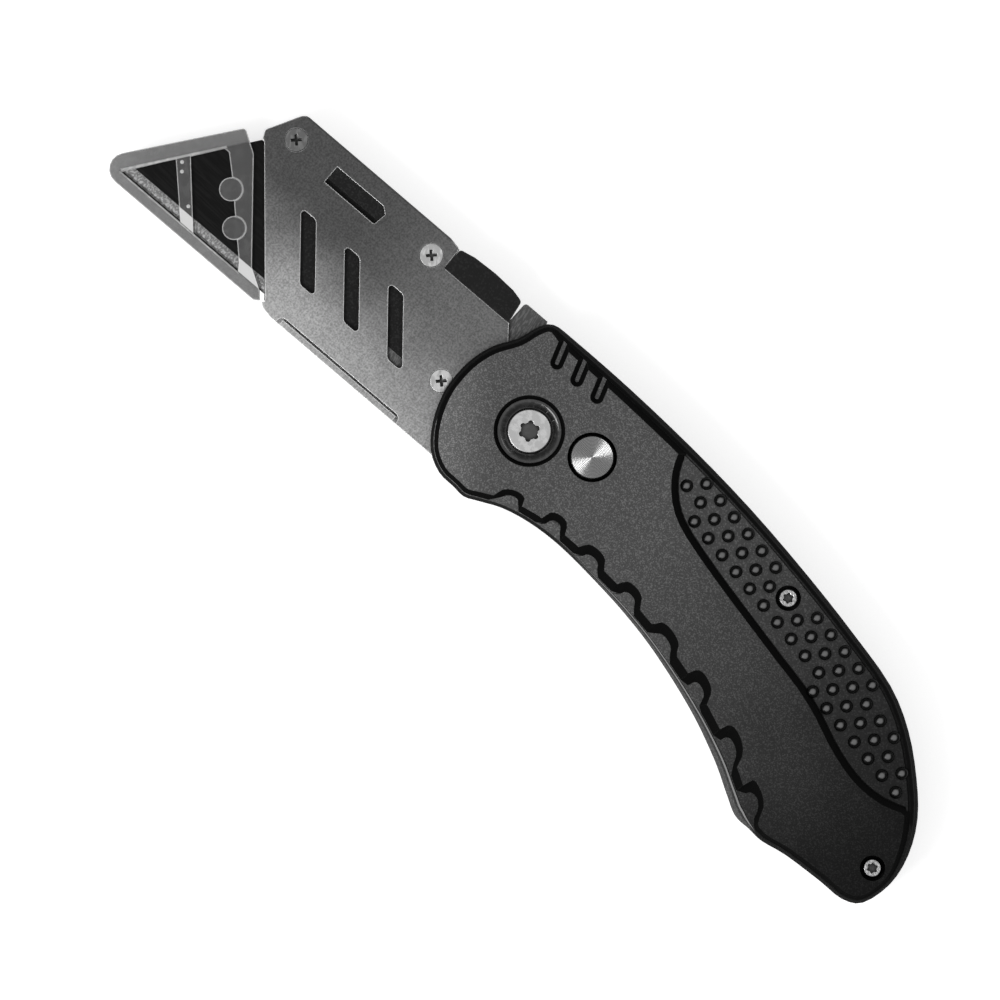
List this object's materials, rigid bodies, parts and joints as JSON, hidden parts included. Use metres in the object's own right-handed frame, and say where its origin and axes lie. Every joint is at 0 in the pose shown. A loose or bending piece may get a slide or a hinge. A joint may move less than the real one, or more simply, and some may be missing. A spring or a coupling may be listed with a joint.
{
  "type": "folding utility knife",
  "caption": "Folding utility knife with a button lock, a rocking blade release, a trapezoid blade under a clear guard and a moulded handle with grip pads.",
  "frame": {"origin": "on the surface that the back scale's face rests on, under the middle of the open knife's box", "axes": "+X from the blade's tip to the tail of the handle, +Y to the spine, +Z out of the front side; the knife lies flat on its back scale"},
  "size_m": [0.1738, 0.0424, 0.017],
  "materials": {
    "scale_paint": "satin black paint with a fine sparkle",
    "grip_rubber": "black rubber with glossier domes",
    "black_nylon": "moulded black nylon",
    "pivot_steel": "bright turned steel",
    "collar_gloss": "glossy black",
    "bronze": "plain bronze",
    "screw_steel": "plated steel",
    "spun_steel": "steel spun in rings",
    "tang_steel": "ground steel",
    "spring_steel": "spring steel",
    "plate_steel": "finely scratched stainless steel",
    "button_plastic": "moulded black plastic",
    "blade_steel": "dark blade steel with a ground bevel",
    "guard_plastic": "milky translucent plastic"
  },
  "bodies": {
    "handle": {"front_scale": "scale_paint", "back_scale": "scale_paint", "front_grip_pad": "grip_rubber", "back_grip_pad": "grip_rubber", "backspacer": "black_nylon", "pivot_barrel": "pivot_steel", "pivot_screw": "pivot_steel", "front_pivot_collar": "collar_gloss", "back_pivot_collar": "collar_gloss", "front_washer": "bronze", "back_washer": "bronze", "stop_pin": "pivot_steel", "handle_posts": "screw_steel", "front_handle_screws": "screw_steel", "back_handle_screws": "screw_steel", "lock_spring": "spring_steel"},
    "lock": {"lock_button": "spun_steel", "lock_collar": "tang_steel"},
    "holder": {"front_plate": "plate_steel", "back_plate": "plate_steel", "blade_carrier": "black_nylon", "tang": "tang_steel", "pivot_bush": "bronze", "holder_screws": "screw_steel", "release_spring": "spring_steel"},
    "release_lever": {"release_latch": "spring_steel", "release_button": "button_plastic"},
    "blade": {"blade": "blade_steel"},
    "guard": {"blade_guard": "guard_plastic"}
  },
  "joints": [
    {"name": "fold", "type": "hinge", "parent": "handle", "child": "holder", "pos_m": [-0.00606, 0.00511, 0.0085], "axis": [0, 0, 1], "range_deg": [0, 168]},
    {"name": "lock_press", "type": "slide", "parent": "handle", "child": "lock", "axis": [0, 0, 1], "range_m": [0, 0.0011], "stiffness_N_per_m": 1500, "springref_m": 0.002, "deforming": ["lock_spring"]},
    {"name": "release_rock", "type": "hinge", "parent": "holder", "child": "release_lever", "pos_m": [-0.03696, 0.01661, 0.0085], "axis": [0, 0, 1], "range_deg": [0, 4], "stiffness_Nm_per_rad": 0.2, "springref_deg": 8.59},
    {"name": "blade_draw", "type": "slide", "parent": "holder", "child": "blade", "axis": [1, 0, 0], "range_m": [-0.045, 0]},
    {"name": "guard_pull", "type": "slide", "parent": "blade", "child": "guard", "axis": [1, 0, 0], "range_m": [-0.035, 0]}
  ]
}
